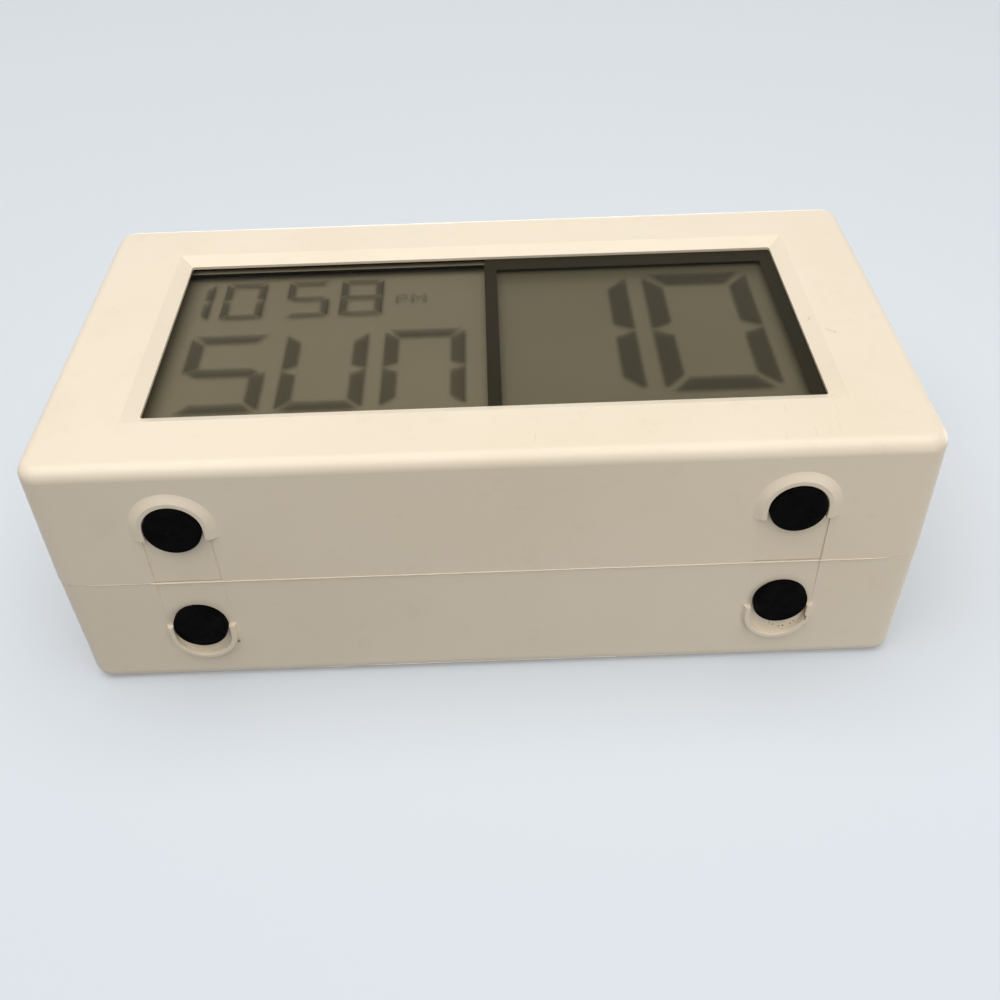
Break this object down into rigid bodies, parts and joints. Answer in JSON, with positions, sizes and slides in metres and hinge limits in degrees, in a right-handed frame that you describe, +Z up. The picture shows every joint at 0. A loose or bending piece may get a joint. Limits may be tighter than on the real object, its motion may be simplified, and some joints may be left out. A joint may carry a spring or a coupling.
{
  "type": "talking alarm clock",
  "caption": "Battery talking alarm clock of a pill organizer: wide bevelled display face, large button on top, set buttons, speaker and battery door behind, rubber feet.",
  "frame": {"origin": "on the surface the feet stand on, under the middle of the housing", "axes": "+X viewer's right, -Y the way the display faces, +Z up"},
  "size_m": [0.184, 0.0624, 0.102],
  "materials": {
    "front_housing": "satin cream moulded ABS",
    "back_housing": "fine textured cream moulded ABS",
    "lens": "clear acrylic",
    "dark_plastic": "dark brown satin plastic",
    "lcd_glass": "clear glass with polarizer",
    "time_reflector": "olive grey reflector foil",
    "date_reflector": "olive grey reflector foil",
    "connector_rubber": "striped conductive rubber",
    "board": "green printed circuit board",
    "screw_steel": "zinc plated steel",
    "chip_plastic": "black epoxy",
    "capacitor_can": "sleeved aluminium can",
    "switch_plastic": "black switch plastic",
    "stem_plastic": "white switch plastic",
    "red_lamp": "red lamp resin",
    "contact_steel": "nickel plated spring steel",
    "speaker_steel": "zinc plated pressed steel",
    "speaker_paper": "black pressed paper",
    "magnet": "ferrite magnet",
    "cell_wrap": "plain wrapped steel cell",
    "foot_rubber": "matt black rubber",
    "red_button": "translucent red plastic",
    "grey_button": "grey moulded plastic",
    "knob_plastic": "black moulded plastic"
  },
  "bodies": {
    "housing": {"front_shell": "front_housing", "back_shell": "back_housing", "display_lens": "lens", "lcd_holder": "dark_plastic", "time_lcd_cell": "lcd_glass", "date_lcd_cell": "lcd_glass", "time_lcd_reflector": "time_reflector", "date_lcd_reflector": "date_reflector", "lcd_connector_strips": "connector_rubber", "main_board": "board", "main_board_screws": "screw_steel", "speech_chip": "chip_plastic", "clock_chip": "chip_plastic", "capacitors": "capacitor_can", "alarm_board": "board", "alarm_switch": "switch_plastic", "alarm_lamps": "red_lamp", "key_board": "board", "key_board_screws": "screw_steel", "tact_switches": "switch_plastic", "mode_switch_can": "contact_steel", "volume_switch_can": "contact_steel", "speaker_frame": "speaker_steel", "speaker_cone": "speaker_paper", "speaker_magnet": "magnet", "speaker_clamps": "contact_steel", "speaker_screws": "screw_steel", "case_screws": "screw_steel", "battery_cells": "cell_wrap", "battery_springs": "contact_steel", "battery_plates": "contact_steel", "front_left_foot": "foot_rubber", "front_right_foot": "foot_rubber", "back_left_foot": "foot_rubber", "back_right_foot": "foot_rubber"},
    "alarm_button": {"alarm_button": "red_button", "alarm_switch_stem": "stem_plastic"},
    "hour_button": {"hour_button": "grey_button"},
    "minute_button": {"minute_button": "grey_button"},
    "day_button": {"day_button": "grey_button"},
    "alarm_set_button": {"alarm_set_button": "grey_button"},
    "mode_knob": {"mode_switch_knob": "knob_plastic"},
    "volume_knob": {"volume_switch_knob": "knob_plastic"},
    "battery_door": {"battery_door": "back_housing"}
  },
  "joints": [
    {"name": "alarm_button_press", "type": "slide", "parent": "housing", "child": "alarm_button", "axis": [0, 0, -1], "range_m": [0, 0.0015], "stiffness_N_per_m": 600},
    {"name": "hour_button_press", "type": "slide", "parent": "housing", "child": "hour_button", "axis": [0, -1, 0], "range_m": [0, 0.0005], "stiffness_N_per_m": 400},
    {"name": "minute_button_press", "type": "slide", "parent": "housing", "child": "minute_button", "axis": [0, -1, 0], "range_m": [0, 0.0005], "stiffness_N_per_m": 400},
    {"name": "day_button_press", "type": "slide", "parent": "housing", "child": "day_button", "axis": [0, -1, 0], "range_m": [0, 0.0005], "stiffness_N_per_m": 400},
    {"name": "alarm_set_button_press", "type": "slide", "parent": "housing", "child": "alarm_set_button", "axis": [0, -1, 0], "range_m": [0, 0.0005], "stiffness_N_per_m": 400},
    {"name": "mode_switch_slide", "type": "slide", "parent": "housing", "child": "mode_knob", "axis": [1, 0, 0], "range_m": [-0.003, 0.003]},
    {"name": "volume_switch_slide", "type": "slide", "parent": "housing", "child": "volume_knob", "axis": [1, 0, 0], "range_m": [-0.0025, 0.0025]},
    {"name": "battery_door_hinge", "type": "hinge", "parent": "housing", "child": "battery_door", "pos_m": [-0.044, 0.03125, 0.06895], "axis": [1, 0, 0], "range_deg": [0, 60]}
  ]
}
